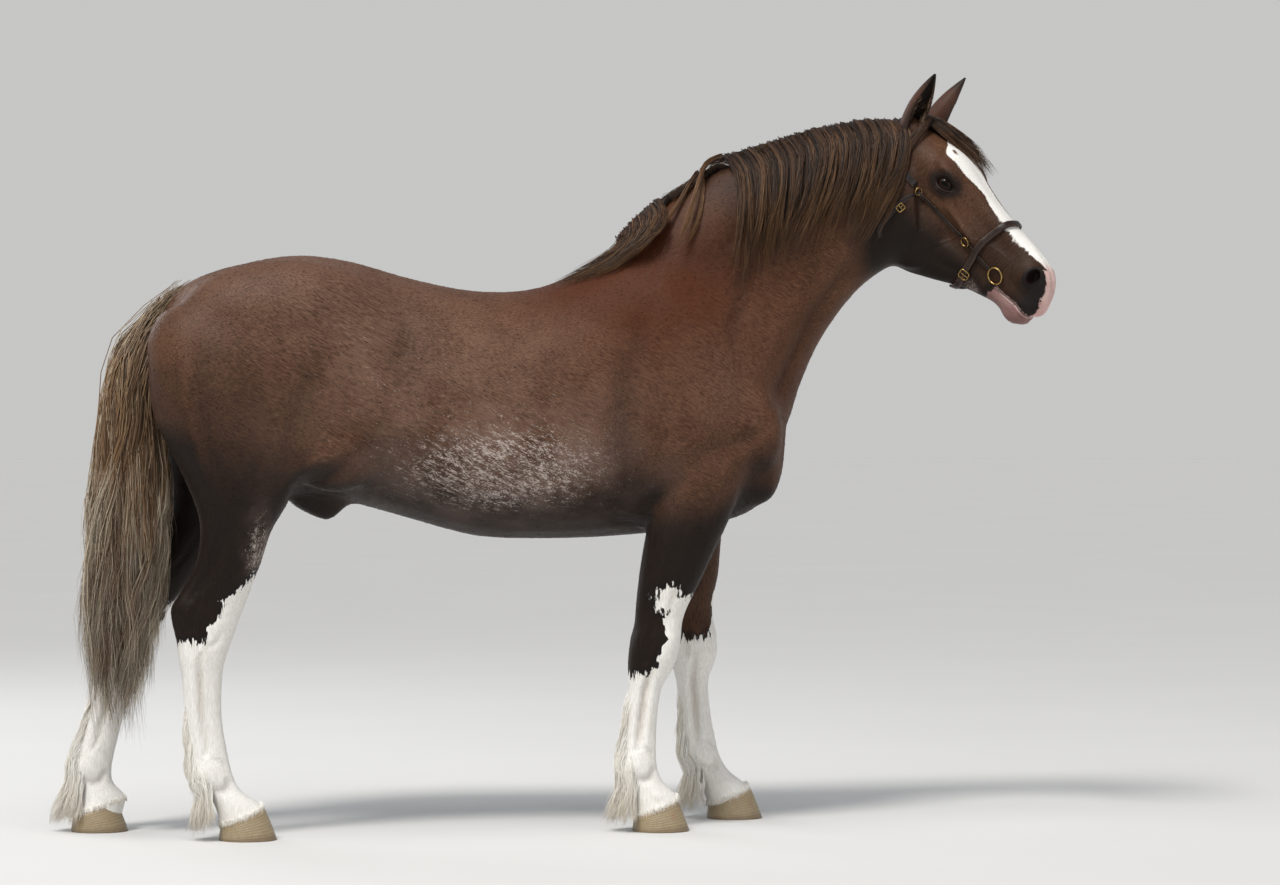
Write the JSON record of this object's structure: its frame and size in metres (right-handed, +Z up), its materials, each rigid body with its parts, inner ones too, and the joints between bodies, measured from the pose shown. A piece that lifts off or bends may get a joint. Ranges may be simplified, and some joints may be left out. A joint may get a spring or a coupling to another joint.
{
  "type": "standing welsh cob stallion model",
  "caption": "A life-size still model of a standing cob stallion with full mane, tail and leg feather, its head turned aside, in a leather show headcollar with brass rings",
  "frame": {"origin": "the middle of the bounding box at its bottom face, on the floor that the hooves stand on", "axes": "+X the way the trunk faces, from tail to head, the longest side; +Y to the horse's own left, the shortest side; +Z up"},
  "size_m": [2.5342, 0.737, 1.9471],
  "materials": {
    "coat": "short liver chestnut horse hair with a satin sheen, white marks on the face and flecks on the ribs",
    "stocking": "white leg hair, longer and cream behind the fetlocks",
    "tail_hair": "long flaxen and brown horse hair",
    "hoof_horn": "pale horn with fine growth rings",
    "eye": "wet dark brown eyeball, polished",
    "leather": "dark brown oiled bridle leather with stitched edges",
    "brass": "polished, slightly tarnished"
  },
  "bodies": {
    "root": {"head": "coat", "neck": "coat", "torso": "coat", "tail": "tail_hair", "forearm_left": "coat", "forearm_right": "coat", "cannon_front_left": "stocking", "cannon_front_right": "stocking", "hoof_front_left": "hoof_horn", "hoof_front_right": "hoof_horn", "gaskin_left": "coat", "gaskin_right": "coat", "cannon_hind_left": "stocking", "cannon_hind_right": "stocking", "hoof_hind_left": "hoof_horn", "hoof_hind_right": "hoof_horn", "ear_left": "coat", "ear_right": "coat", "eye_left": "eye", "eye_right": "eye", "crownpiece": "leather", "noseband": "leather", "cheek_strap_left": "leather", "cheek_strap_right": "leather", "bit_strap_left": "leather", "bit_strap_right": "leather", "cheek_buckle_left": "brass", "cheek_buckle_right": "brass", "cheek_ring_left": "brass", "cheek_ring_right": "brass", "bit_ring_left": "brass", "bit_ring_right": "brass"}
  },
  "joints": []
}
